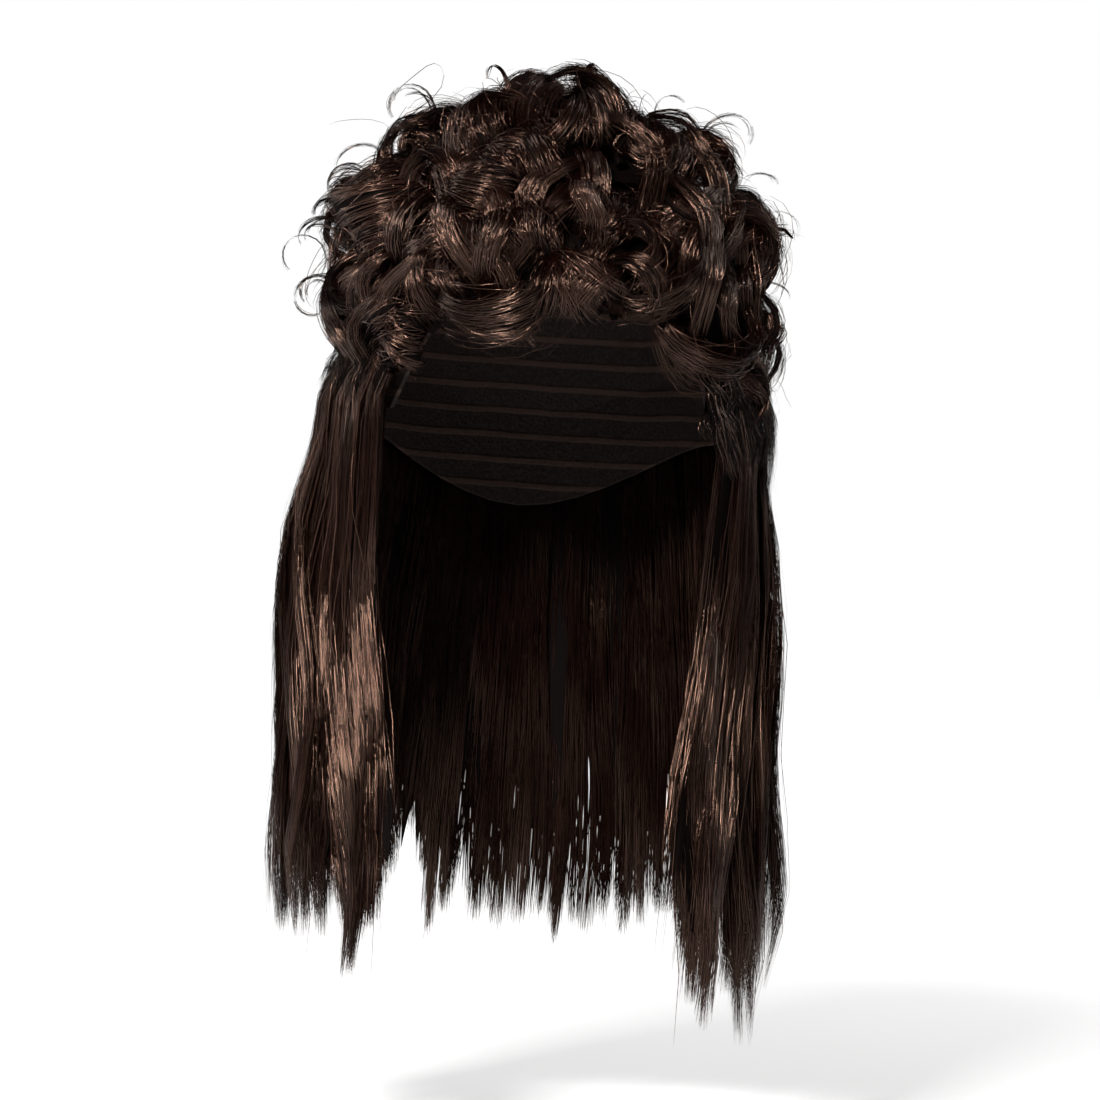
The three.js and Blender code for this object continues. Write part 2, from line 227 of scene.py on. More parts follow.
WISP = {
    "points": 16,
    "turning": 2,
    "wander": 0.35,
    "half_width": 0.24,
    "fibres": 10,
    "spread": 0.5,
    "sizes": (0.75, 1.1),
    "turns": (0.7, 1.1),
    "axis_spread": 8,
}

# Single fibres that lie on each curl, and those that stand off it
FLYAWAY = {"count": 30, "sizes": (0.9, 1.12), "points": 14, "turning": 20, "wander": 1, "half_width": 0.15}
OUTER = {"count": 6, "sizes": (1.1, 1.28), "points": 18, "turning": 20, "wander": 1, "half_width": 0.15}
STRAY = {
    "spread": 0.3,
    "start": (-20, 20),
    "turn": (150, 300),
    "drift": 0.5,
    "tone": (0.3, 0.8),
    "tip": 0.3,
}

# Loose waves that hang from the lower edge of a zone over the long hair, between two heights
HANGING_COLUMNS = ("zone", "from", "to", "upper", "lower", "out", "locks")
HANGING_WAVES = [
    ("left_curls", 41, 60, -84, -124, 10, 9),
    ("left_curls", 60, 96, -88, -136, 10, 12),
    ("right_curls", -96, -54, -76, -104, 7, 9),
    ("back_curls", 132, 228, -72, -100, 8, 8),
]
HANGING = {
    "fibres": 48,
    # Fibres of each hanging lock that take the dark, matte look of painted shade
    "painted_shade_fibres": 30,
    "place": (0.1, 0.9),
    "upper_play": 0.15,
    "lower_play": 0.25,
    "waves": (0.7, 1.2),
    "swing": 2.8,
    "bulge": 0.9,
    "width": 3,
    "depth": 2.2,
    "root_width": 0.8,
    "splay": (0.5, 1.6),
    "wander": 0.4,
    "reach": (0.75, 1),
    "half_width": (0.14, 0.28),
    "tone": (0.05, 0.35),
    "tone_spread": 0.12,
}

# Long hair
DRAPE_COLUMNS = ("height", "side", "flare", "back", "front", "swing")
DRAPE = [
    (-76, 79.6, 0, 100.6, 100.6, 0),
    (-110, 88.5, 0, 99, 98, 0),
    (-205, 97.5, -1.5, 92, 74, 9),
    (-290, 99.5, 3, 93, 100, 17),
    (-365, 106, 5, 100, 104, 15),
]
# Panel tones fall from the wearer's right to the wearer's left: painted shade on the side away from the key
# light
PANEL_COLUMNS = ("name", "from", "to", "locks", "tip", "notch", "gather", "fibres", "tone")
PANELS = [
    ("right_side_length", -100, -FRINGE_EDGE, 3, -350, 30, 0.28, 160, 0.5),
    ("right_back_length", -143, -101, 3, -345, 24, 0.08, 80, 0.5),
    ("back_length", 144, 216, 5, -352, 22, 0.06, 75, 0.45),
    ("left_back_length", 101, 143, 3, -350, 24, 0.08, 80, 0.4),
    ("left_side_length", FRINGE_EDGE, 100, 3, -370, 30, 0.28, 160, 0.3),
]
PANEL = {"thickness": 11, "groove": 0.6, "edge": 0.35, "even": 0.8, "raggedness": 9}
PANEL_TAPER = [
    {"along": 0, "thickness": 0.5},
    {"along": 0.16, "thickness": 0.9},
    {"along": 0.45, "thickness": 1},
    {"along": 0.72, "thickness": 0.95},
    {"along": 0.9, "thickness": 0.7},
    {"along": 1, "thickness": 0.2},
]

# Strands, tufts and loose hairs of the long hair, with places along and across a panel as shares
STRAND = {
    "spacing": 2.1,
    "aside": 0.4,
    "sway": 0.012,
    "sways": 0.6,
    "half_breadth": 1.3,
    "overhang": 0.04,
    "gather_spread": 0.12,
    "gather_from": 0.4,
    "end_play": 6,
    "layer": (0.1, 1),
    "layer_play": 0.2,
    "tone_play": 0.22,
    "tone_spread": 0.16,
}
TUFT = {
    "per_lock": 3,
    "uneven": 0.38,
    "ragged": 11,
    "point": 11,
    "gather": 0.36,
    "gather_from": 0.7,
    "free": 0.25,
}
# Dark sheet of painted shade inside each panel
SHEET = {"columns": 60, "rows": 10, "end": 0.74, "ragged": 0.09, "depth": 0.4, "overhang": 1}
LOOSE = {
    "hairs": 34,
    "inset": 0.02,
    "straying": 0.16,
    "wander": 0.012,
    "shortest": 0.5,
    "layer": 1.1,
    "tone": 0.85,
    "overhang": 0.03,
}

# Fibres of the long hair, with places along them as shares
LENGTH_FIBRE = {
    "wander_aside": 0.2,
    "wander_out": 0.3,
    "slide": 0.04,
    "ripples": (1.6, 2.6),
    "ripple": 1.7,
    "ripple_between": (0.1, 0.4),
    "strand_shift": 20,
    "own_shift": 9,
    "shift_between": (0.15, 0.4),
    "roll": 15,
    "half_width": (0.15, 0.3),
    "tip_steepness": 6,
    # Painted shade on the innermost fibres, as a share of their tone
    "inner_painted_shade": 0.3,
}
ROOT_RISE = 7

# All fibres
CURL_POINTS = 11
LENGTH_STATIONS = np.array([0, 0.06, 0.13, 0.22, 0.34, 0.45, 0.55, 0.65, 0.76, 0.9, 1])
HAIR, SHADE = 0, 1
ROUNDNESS = 1.5
TIP = {"end": 1.02, "steepness": 5, "least": 0.15}
SKINWARD = 0.4
WANDER_WAVES = (1.1, 2.3)
LEAST_HEIGHT = 5
TONE_LIMITS = (0.02, 0.98)
# Painted shade in the curls: it fades out between these shares of the curls' height, from a deep share of
# the tone
SHADE_BETWEEN = (0.4, 0.85)
DEEP_PAINTED_SHADE = 0.25

# Rows of wefts in the cap, and the radians that a wave texture of scale 1 runs through in a metre
WEFT_SPACING = 11
WAVE_TEXTURE_RADIANS = 20

# Camera at the photograph's angle and scale
PHOTO = {"pixels": 1100, "mm_per_pixel": 0.43}
CAMERA = {"aim": (7.2, 0, -166), "azimuth": -5, "roll": 3.7, "distance": 2000, "sensor": 36}

# Lights, with places and sizes in metres
LIGHT_COLUMNS = ("name", "place", "size", "power")
LIGHTS = [
    ("key", (-0.8, -1.8, 0.9), (0.42, 0.42), 80),
    ("fill", (1.2, -1.7, 0.6), (0.4, 0.7), 6),
    ("rim_right", (-1.5, 0.7, 0.6), (0.5, 1.2), 10),
    ("rim_left", (1.5, 0.7, 0.6), (0.5, 1.2), 7),
]
LIGHT_AIM = (0, 0, -0.1)
LIGHT_COLOUR = (1, 0.93, 0.88)


# Numbers


def mix(a, b, share):
    return a + (b - a) * share


def ease(share):
    share = np.clip(share, 0, 1)
    return share * share * (3 - 2 * share)


def rise(at, start, end):
    """A share that eases from 0 to 1 between two places."""
    return ease((at - start) / (end - start))


def unit(vectors):
    return vectors / np.maximum(np.linalg.norm(vectors, axis=-1, keepdims=True), TINY)


def from_table(keys, values, at):
    """Values at keys, eased between the rows."""
    keys, values, at = np.asarray(keys, float), np.asarray(values, float), np.asarray(at, float)
    if keys[-1] < keys[0]:
        keys, at = -keys, -at
    row = np.clip(np.searchsorted(keys, at), 1, len(keys) - 1)
    share = (at - keys[row - 1]) / (keys[row] - keys[row - 1])
    return mix(values[row - 1], values[row], ease(share))


def column(rows, name):
    return [row[name] for row in rows]


def drape_column(name):
    return [row[DRAPE_COLUMNS.index(name)] for row in DRAPE]


def wobble(seed):
    """A steady number between -1 and 1 that a seed gives."""
    scrambled = math.sin(seed * WOBBLE["pitch"]) * WOBBLE["size"]
    return 2 * (scrambled - math.floor(scrambled)) - 1


def sin(angle):
    return np.sin(np.radians(angle))


def cos(angle):
    return np.cos(np.radians(angle))


# Head


def head_point(around, down, out):
    around, down, out = np.broadcast_arrays(around, down, out)
    height = np.where(down <= 90, HEAD["crown"], HEAD["nape"])
    x = (HEAD["half_breadth"] + out) * sin(down) * sin(around)
    y = -(HEAD["half_length"] + out) * sin(down) * cos(around)
    z = (height + out) * cos(down) - HEAD["crown"]
    return np.stack([x, y, z], axis=-1)


def head_frame(around, down):
    """Unit vectors on the head: out of it, round it and up towards the crown."""
    around, down = np.broadcast_arrays(np.asarray(around, float), np.asarray(down, float))
    height = np.where(down <= 90, HEAD["crown"], HEAD["nape"])
    x = sin(down) * sin(around) / HEAD["half_breadth"]
    y = -sin(down) * cos(around) / HEAD["half_length"]
    out = unit(np.stack([x, y, cos(down) / height], axis=-1))
    across = [HEAD["half_breadth"] * cos(around), HEAD["half_length"] * sin(around), 0 * around]
    east = unit(np.stack(across, axis=-1))
    return out, east, np.cross(out, east)


def head_share(points, out):
    """How far points are from the middle of the head, as a share of the way to its skin moved out."""
    x, y, z = np.moveaxis(points, -1, 0)
    height = np.where(z > -HEAD["crown"], HEAD["crown"], HEAD["nape"])
    scaled = [
        x / (HEAD["half_breadth"] + out),
        y / (HEAD["half_length"] + out),
        (z + HEAD["crown"]) / (height + out),
    ]
    return np.linalg.norm(np.stack(scaled), axis=0)


def off_scalp(points, least):
    """Points, with those that lie too deep moved straight out to a least height over the scalp."""
    middle = np.array([0, 0, -HEAD["crown"]])
    share = np.clip(head_share(points, least), TINY, 1)
    return middle + (points - middle) / share[..., None]


def signed(around):
    return (np.asarray(around, float) + 540) % 360 - 180


def rim_down(around):
    return from_table(column(CAP_RIM, "around"), column(CAP_RIM, "down"), np.abs(signed(around)))


def bed_edge_down(around):
    edge = from_table(column(BED_EDGE, "around"), column(BED_EDGE, "down"), signed(around))
    return np.minimum(edge, rim_down(around) - SEAM)


# Fibres


class Fibres:
    """The fibres of one piece, as flat ribbons, with the solid cores of their locks and other dark sheets
    of painted shade.
    """

    def __init__(self):
        self.corners, self.normals, self.maps, self.quads, self.looks = [], [], [], [], []
        self.count = 0

    def keep(self, corners, normals, maps, quads, look):
        self.corners.append(corners.reshape(-1, 3))
        self.normals.append(normals.reshape(-1, 3))
        self.maps.append(maps.reshape(-1, 2))
        self.quads.append(quads.reshape(-1, 4) + self.count)
        self.looks.append(np.full(quads.size // 4, look))
        self.count += self.corners[-1].shape[0]

    def ribbons(self, points, facing, half_width, tone, look=HAIR):
        """Ribbons along points, fibres by points by 3. Their normals bend as a round fibre's do."""
        fibres, stations = points.shape[:2]
        tangent = unit(np.gradient(points, axis=1))
        side = unit(np.cross(tangent, facing))
        facing = np.cross(side, tangent)
        reach = side * np.broadcast_to(half_width, (fibres, stations))[..., None]
        corners = np.stack([points - reach, points + reach], axis=2)
        normals = np.stack([unit(facing - ROUNDNESS * side), unit(facing + ROUNDNESS * side)], axis=2)
        along = np.broadcast_to(np.linspace(0, 1, stations), (fibres, stations))
        tones = np.broadcast_to(tone, (fibres, stations))
        maps = np.repeat(np.stack([tones, along], axis=-1)[:, :, None], 2, axis=2)
        first = 2 * (np.arange(fibres)[:, None] * stations + np.arange(stations - 1))
        quads = np.stack([first, first + 1, first + 3, first + 2], axis=-1)
        self.keep(corners, normals, maps, quads, look)

    def sheet(self, points, closed=False):
        """A dark sheet of painted shade over points, columns by rows by 3, which faces away from columns
        cross rows.
        """
        columns, rows = points.shape[:2]
        round_way = np.gradient(points, axis=0)
        if closed:
            round_way = np.roll(points, -1, axis=0) - np.roll(points, 1, axis=0)
        normals = unit(np.cross(np.gradient(points, axis=1), round_way))
        maps = np.zeros((columns, rows, 2))
        here = np.arange(columns if closed else columns - 1)[:, None] * rows + np.arange(rows - 1)
        there = (here + rows) % (columns * rows)
        quads = np.stack([here, here + 1, there + 1, there], axis=-1)
        self.keep(points, normals, maps, quads, SHADE)

    def piece(self, name, materials):
        corners, normals = np.concatenate(self.corners), np.concatenate(self.normals)
        maps, quads = np.concatenate(self.maps), np.concatenate(self.quads)
        mesh = bpy.data.meshes.new(name)
        mesh.vertices.add(len(corners))
        mesh.vertices.foreach_set("co", (corners * MM).astype(np.float32).ravel())
        mesh.loops.add(quads.size)
        mesh.loops.foreach_set("vertex_index", quads.astype(np.int32).ravel())
        mesh.polygons.add(len(quads))
        mesh.polygons.foreach_set("loop_start", np.arange(0, quads.size, 4, dtype=np.int32))
        for layer in ("strand", "OFBake"):
            uv = mesh.uv_layers.new(name=layer)
            uv.uv.foreach_set("vector", maps[quads.ravel()].astype(np.float32).ravel())
        mesh.update(calc_edges=True)
        mesh.normals_split_custom_set_from_vertices(normals.astype(np.float32))
        for material in materials:
            mesh.materials.append(material)
        mesh.polygons.foreach_set("material_index", np.concatenate(self.looks).astype(np.int32))
        obj = bpy.data.objects.new(name, mesh)
        bpy.context.scene.collection.objects.link(obj)
        return obj


def disc(count):
    """Places spread over a round section, with more of them near its skin."""
    angle = rng.uniform(0, 2 * np.pi, count)
    reach = rng.uniform(0, 1, count) ** SKINWARD
    return reach * np.cos(angle), reach * np.sin(angle)


def wander(fibres, stations, size):
    """A slow sideways drift of each fibre."""
    along = np.linspace(0, 1, stations)
    drift = np.zeros((fibres, stations))
    for waves_along in WANDER_WAVES:
        phase = rng.uniform(0, 1, (fibres, 1))
        reach = rng.normal(0, size / waves_along, (fibres, 1))
        drift += reach * np.sin(2 * np.pi * (waves_along * along + phase))
    return drift


def tapered(stations, steepness=TIP["steepness"], least=TIP["least"]):
    """A fibre's width as a share of the full one, which thins to a least share at the tip."""
    return np.clip((TIP["end"] - stations) * steepness, least, 1)


# Curls


def placed(curl, seed):
    """A curl with a small steady variation of its own, and the height of its middle over the scalp."""
    radius = curl["radius"] * (1 + JITTER["radius"] * wobble(seed + 0.5))
    standing = CURL["crest"] * radius * cos(curl["tilt"]) + 0.5 * curl["width"] * abs(sin(curl["tilt"]))
    return {
        **curl,
        "around": curl["around"] + JITTER["around"] * wobble(seed),
        "down": curl["down"] + JITTER["down"] * wobble(seed + 0.25),
        "radius": radius,
        "turn": CURL["turn"] + JITTER["turn"] * wobble(seed + 0.75),
        "middle": curl["rise"] - 0.5 * CURL["thickness"] - standing,
    }


def curls():
    """Every curl: those that face forwards, and then those in rings."""
    for i, values in enumerate(FRONT_CURLS):
        yield placed(dict(zip(FRONT_COLUMNS, values)), i + 1)
    for number, values in enumerate(CURL_RINGS):
        ring = dict(zip(RING_COLUMNS, values))
        for i, lean in enumerate(ring["leans"]):
            share = i / (len(ring["leans"]) - 1)
            around = mix(ring["from"], ring["to"], share)
            tilt = ring["tilt"] if i % 2 else -ring["tilt"]
            seed = RING_SEED + SEEDS_PER_RING * number + i
            yield placed({**ring, "around": around, "lean": lean, "tilt": tilt}, seed)


def spiral(lock, along, side, lift):
    """Points of a curled lock and the ways that they face, for shares along it and offsets in it."""
    out, east, north = head_frame(lock["around"], lock["down"])
    flat = cos(lock["tilt"])
    axis = east * cos(lock["lean"]) * flat + north * sin(lock["lean"]) * flat + out * sin(lock["tilt"])
    to_root = unit(-out + axis * (out @ axis))
    rising = np.cross(axis, to_root)
    middle = head_point(lock["around"], lock["down"], lock["middle"])
    angle = (lock["start"] + along * lock["turn"])[..., None]
    spoke = to_root * cos(angle) + rising * sin(angle)
    swell = 1 + CURL["swell"] * np.sin(2 * np.pi * (CURL["swells"] * along + lock["phase"]))
    reach = lock["radius"] * mix(1, CURL["tip_radius"], along**2) * swell + lift
    place = side + lock["drift"] * (along - 0.5) + lock["offset"]
    points = middle + spoke * reach[..., None] + axis * place[..., None]
    return off_scalp(points, LEAST_HEIGHT), spoke, axis


def curl_height(down):
    return from_table(column(CURL_HEIGHT, "down"), column(CURL_HEIGHT, "height"), down)


def painted_shade_tones(points, tone):
    """Tones along fibres with painted shade, which darkens them from the tops of the curls towards the
    scalp.
    """
    share = head_share(points, 0)
    crown = (points[..., 2] + HEAD["crown"]) / (HEAD["crown"] * share)
    height = (share - 1) * HEAD["crown"] / curl_height(np.degrees(np.arccos(np.clip(crown, -1, 1))))
    light = rise(height, *SHADE_BETWEEN)
    return np.clip(tone, *TONE_LIMITS) * mix(DEEP_PAINTED_SHADE, 1, light)


def lock_core(fibres, lock):
    """The solid core of a curled lock: a dark sheet of painted shade."""
    stations = np.linspace(0, 1, CURL_POINTS)
    fullness = CORE["fill"] * np.sqrt(np.maximum(CORE["least"], 1 - stations ** CORE["bluntness"]))
    turn = 2 * np.pi * np.arange(CORE["sides"])[:, None] / CORE["sides"]
    along = np.broadcast_to(stations, (CORE["sides"], CURL_POINTS))
    side = np.cos(turn) * lock["half_width"] * fullness
    lift = np.sin(turn) * lock["half_thickness"] * fullness
    points, _, _ = spiral(lock, along, side, lift)
    fibres.sheet(points, closed=True)


def lock_fibres(fibres, lock, count):
    """The fibres of a curled lock, which start together at the scalp and open towards their tips."""
    look = LOCK_FIBRE
    stations = np.linspace(0, 1, CURL_POINTS)
    across, deep = disc(count)
    along = stations * rng.uniform(*look["length"], (count, 1))
    strays = rng.uniform(0, 1, (count, 1)) < look["strays"]
    loose = np.where(strays, look["straying"], 1) * (look["root_play"] + stations)
    width = mix(look["root_width"], 1, rise(stations, 0, look["full_width_at"]))
    splay = mix(width, rng.uniform(*look["splay"], (count, 1)), rise(stations, look["opens_from"], 1))
    slant = rng.normal(0, look["slant"], (count, 1)) * (stations - look["slant_about"])
    root = -look["root_depth"] * (1 - rise(stations, 0, look["root_to"]))
    side = across[:, None] * lock["half_width"] * splay + slant
    side = side + wander(count, CURL_POINTS, look["wander"]) * loose
    lift = deep[:, None] * lock["half_thickness"] * splay
    lift = lift + wander(count, CURL_POINTS, look["wander"]) * loose + root
    points, spoke, axis = spiral(lock, along, side, lift)
    roll = rng.normal(0, look["roll"], (count, 1)) + rng.normal(0, look["twist"], (count, 1)) * stations
    facing = spoke * cos(roll)[..., None] + axis * sin(roll)[..., None]
    half_width = rng.uniform(*look["half_width"], (count, 1)) * tapered(stations)
    tone = lock["tone"] + rng.normal(0, look["tone_spread"], (count, 1))
    # Tones with painted shade deep in the curl
    fibres.ribbons(points, facing, half_width, painted_shade_tones(points, tone))


def lock_size(swirl, share):
    """A lock's radius as a share of its curl's: growing outwards in a swirl, and by chance in a roll."""
    if swirl:
        return SWIRL["middle_size"] + SWIRL["growth"] * share
    return rng.uniform(*ROLL["sizes"])


def locks_of(curl):
    """The locks that make up one curl: side by side in a roll, and one inside another in a flat swirl."""
    swirl = abs(curl["tilt"]) > SWIRL_TILT
    look = SWIRL if swirl else ROLL
    for k in range(LOCKS_PER_CURL):
        share = (k + 0.5) / LOCKS_PER_CURL - 0.5
        yield {
            **curl,
            "offset": curl["width"] * share * look["packing"] + rng.normal(0, LOCK["aside"]),
            "radius": curl["radius"] * lock_size(swirl, share),
            "start": rng.uniform(*LOCK["start"]),
            "turn": curl["turn"] + rng.uniform(*LOCK["turn"]),
            "drift": rng.uniform(-look["drift"], look["drift"]),
            "lean": curl["lean"] + rng.normal(0, look["lean"]),
            "tilt": curl["tilt"] + rng.normal(0, look["tilt"]),
            "half_width": rng.uniform(*LOCK["half_width"]),
            "half_thickness": CURL["thickness"] / 2 * rng.uniform(*LOCK["half_thickness"]),
            "phase": rng.uniform(0, 1),
            "tone": rng.uniform(*LOCK["tone"]),
        }


def bed_skin(fibres, name):
    """Painted shade: a dark sheet for the mass of hair under the curls of a zone."""
    zone = ZONES[name]
    around = np.linspace(zone["from"], zone["to"], BED["columns"])[:, None]
    top = name == "top_curls"
    share = np.linspace(BED["first_row"] if top else 0, 1, BED["rows"])[None, :]
    lower = TOP_EDGE + BED["lap"] if top else bed_edge_down(around)
    down = mix(0 if top else TOP_EDGE - BED["lap"], lower, share)
    hem = 1 if top else mix(1, BED_HEM, rise(share, BED["hem_from"], 1))
    ripple = 1 + BED_RIPPLE["size"] * np.sin(around * BED_RIPPLE["around"] + share * BED_RIPPLE["down"])
    points = head_point(around, down, BED_IN + zone["bed"] * BED["fill"] * hem * ripple)
    if not top:
        inner = head_point(around[:, 0], np.broadcast_to(lower, around.shape)[:, 0], BED_IN)
        points = np.concatenate([points, inner[:, None]], axis=1)
    fibres.sheet(points)


def wave(fibres, name):
    """One loose wave that lies on the bed of a zone, between its curls."""
    zone = ZONES[name]
    count = WAVE["fibres"]
    stations = np.linspace(0, 1, CURL_POINTS)
    top = name == "top_curls"
    around = rng.uniform(zone["from"] + WAVE["margin"], zone["to"] - WAVE["margin"])
    low = TOP_EDGE if top else float(bed_edge_down(around))
    high = WAVE["crown"] if top else TOP_EDGE
    start = rng.uniform(high - WAVE["early"], low - WAVE["late"])
    length = rng.uniform(*WAVE["length"])
    lean = rng.uniform(*WAVE["lean"])
    across, deep = disc(count)
    swing = np.sin(2 * np.pi * (stations * rng.uniform(*WAVE["swings"]) + rng.uniform(0, 1)))
    spread = 1 / max(WAVE["narrowest"], math.sin(math.radians(start + WAVE["to_middle"])))
    sideways = lean * stations + swing * rng.uniform(*WAVE["swing"])
    sideways = sideways + wander(count, CURL_POINTS, WAVE["wander_aside"])
    rounds = around + spread * (sideways + across[:, None] * WAVE["width"])
    downs = start + length * stations * rng.uniform(*WAVE["reach"], (count, 1))
    arch = np.sin(np.pi * stations * rng.uniform(*WAVE["arches"])) * rng.uniform(*WAVE["arch"])
    fall = np.maximum(0, downs - low) * zone["fall"]
    outs = zone["lift"] * curl_height(downs) + arch - WAVE["sink"] - fall
    outs = outs + deep[:, None] * WAVE["depth"] + wander(count, CURL_POINTS, WAVE["wander_out"])
    points = head_point(rounds, downs, np.maximum(outs, LEAST_HEIGHT))
    out, east, _ = head_frame(rounds, downs)
    roll = rng.normal(0, WAVE["roll"], (count, 1, 1))
    half_width = rng.uniform(*WAVE["half_width"], (count, 1)) * tapered(stations)
    tone = rng.uniform(*WAVE["tone"]) + rng.normal(0, WAVE["tone_spread"], (count, 1))
    # Tones with painted shade deep in the curls
    fibres.ribbons(points, out * cos(roll) + east * sin(roll), half_width, painted_shade_tones(points, tone))


def stray(fibres, curl, spread, look):
    """A single fibre that follows a curl loosely, aside by a spread and with its axis turned aside."""
    turning, size = look["turning"], look["wander"]
    loose = {
        **curl,
        "offset": rng.normal(0, spread),
        "drift": rng.normal(0, STRAY["drift"] * turning),
        "lean": curl["lean"] + rng.normal(0, turning),
        "tilt": curl["tilt"] + rng.normal(0, turning),
    }
    count = look["points"]
    stations = np.linspace(0, 1, count)[None]
    points, spoke, _ = spiral(loose, stations, wander(1, count, size), wander(1, count, size))
    tone = np.full((1, count), rng.uniform(*STRAY["tone"]))
    half_width = look["half_width"] * tapered(stations, least=STRAY["tip"])
    fibres.ribbons(points, spoke, half_width, tone)


def flyaways(fibres, curl, look):
    """Single fibres that stray over a curl or stand off it."""
    for _ in range(look["count"]):
        own = {
            **curl,
            "radius": curl["radius"] * rng.uniform(*look["sizes"]),
            "start": rng.uniform(*STRAY["start"]),
            "turn": rng.uniform(*STRAY["turn"]),
            "phase": rng.uniform(0, 1),
        }
        stray(fibres, own, STRAY["spread"] * curl["width"], look)


def wisps(fibres, name):
    """Thin wisps that loop out of the curls of a zone, in strands of a few fibres that cling together."""
    for values in WISPS:
        wisp = dict(zip(WISP_COLUMNS, values))
        if wisp["zone"] != name:
            continue
        for _ in range(wisp["strands"]):
            strand = {
                **wisp,
                "radius": wisp["radius"] * rng.uniform(*WISP["sizes"]),
                "lean": wisp["lean"] + rng.normal(0, WISP["axis_spread"]),
                "tilt": wisp["tilt"] + rng.normal(0, WISP["axis_spread"]),
                "start": rng.uniform(*STRAY["start"]),
                "turn": wisp["turn"] * rng.uniform(*WISP["turns"]),
                "phase": rng.uniform(0, 1),
            }
            for _ in range(WISP["fibres"]):
                stray(fibres, strand, WISP["spread"], WISP)


def hanging_lock(fibres, row, middle):
    """One loose wave of a row of hanging ones. Some of its fibres take the dark, matte look of painted
    shade, so that it stays dark.
    """
    count = HANGING["fibres"]
    stations = np.linspace(0, 1, CURL_POINTS)
    drop = row["upper"] - row["lower"]
    upper = row["upper"] + HANGING["upper_play"] * drop * rng.uniform(-1, 1)
    lower = row["lower"] + HANGING["lower_play"] * drop * rng.uniform(-1, 1)
    across, deep = disc(count)
    phase = rng.uniform(0, 1)
    turns = 2 * np.pi * (rng.uniform(*HANGING["waves"]) * stations + phase)
    spread = mix(HANGING["root_width"], rng.uniform(*HANGING["splay"], (count, 1)), stations)
    rounds = middle + HANGING["swing"] * np.sin(turns) + HANGING["width"] * across[:, None] * spread
    rounds = rounds + wander(count, CURL_POINTS, HANGING["wander"])
    heights = mix(upper, lower, stations * rng.uniform(*HANGING["reach"], (count, 1)))
    outs = row["out"] + HANGING["bulge"] * np.cos(turns) + HANGING["depth"] * deep[:, None]
    outs = outs + wander(count, CURL_POINTS, HANGING["wander"])
    points = drape_point(rounds, heights, outs, 0)
    facing = drape_normal(drape_angle(rounds, heights))
    half_width = rng.uniform(*HANGING["half_width"], (count, 1)) * tapered(stations)
    tone = rng.uniform(*HANGING["tone"]) + rng.normal(0, HANGING["tone_spread"], (count, 1))
    tones = np.broadcast_to(np.clip(tone, *TONE_LIMITS), (count, CURL_POINTS))
    painted_shade_fibres, glossy = slice(HANGING["painted_shade_fibres"]), slice(HANGING["painted_shade_fibres"], None)
    fibres.ribbons(points[painted_shade_fibres], facing[painted_shade_fibres], half_width[painted_shade_fibres], tones[painted_shade_fibres], SHADE)
    fibres.ribbons(points[glossy], facing[glossy], half_width[glossy], tones[glossy], HAIR)


def hanging_waves(fibres, name):
    """Loose waves that hang from the lower edge of a zone and hide where the long hair starts."""
    for values in HANGING_WAVES:
        row = dict(zip(HANGING_COLUMNS, values))
        if row["zone"] != name:
            continue
        for k in range(row["locks"]):
            share = (k + rng.uniform(*HANGING["place"])) / row["locks"]
            hanging_lock(fibres, row, mix(row["from"], row["to"], share))


def curl_piece(name, materials):
    """A zone of curls: its bed, the waves on it, its curls and the loose hair on and under them."""
    fibres = Fibres()
    zone = ZONES[name]
    bed_skin(fibres, name)
    for _ in range(zone["waves"]):
        wave(fibres, name)
    for curl in curls():
        if curl["zone"] != name:
            continue
        for lock in locks_of(curl):
            lock_core(fibres, lock)
            lock_fibres(fibres, lock, zone["fibres"])
        flyaways(fibres, curl, FLYAWAY)
        flyaways(fibres, curl, OUTER)
    wisps(fibres, name)
    hanging_waves(fibres, name)
    return fibres.piece(name + "_hair", materials)


# Long hair


def drape_angle(around, height):
    """The way that hanging hair faces, which swings forwards lower down."""
    swing = from_table(drape_column("height"), drape_column("swing"), height)
    turned = np.abs(signed(around))
    return np.sign(signed(around)) * (turned - swing * (180 - turned) / (180 - FRINGE_EDGE))


def drape_normal(angle):
    return np.stack([sin(angle), -cos(angle), 0 * angle], axis=-1)


def drape_point(around, height, out, shift):
    """Points on the hanging hair, which takes its form at a height from as far below as the shift says."""
    around, height, out, shift = np.broadcast_arrays(around, height, out, shift)
    level = height - shift
    angle = drape_angle(around, level)
    heights = drape_column("height")
    side = from_table(heights, drape_column("side"), level) + out
    side = side + from_table(heights, drape_column("flare"), level) * sin(angle)
    front = from_table(heights, drape_column("front"), level)
    back = from_table(heights, drape_column("back"), level)
    depth = np.where(cos(angle) > 0, front, back) + out
    return np.stack([side * sin(angle), -depth * cos(angle), height], axis=-1)


def panel_top(around):
    return head_point(around, bed_edge_down(around) + 2 * SEAM, BED_IN)[..., 2]


def panel_tips(panel, number):
    """Heights of a panel's lower edge, from edge to edge: the tips of its locks and the notches between."""
    columns = np.arange(2 * panel["locks"] + 1)
    ragged = np.array([PANEL["raggedness"] * wobble(SEEDS_PER_PANEL * (number + 1) + i) for i in columns])
    return panel["tip"] + ragged + np.where(columns % 2 == 1, 0, panel["notch"])


def panel_fullness(panel):
    columns = np.arange(2 * panel["locks"] + 1)
    fullness = np.where(columns % 2 == 1, 1, PANEL["groove"])
    fullness[[0, -1]] = PANEL["edge"]
    return fullness


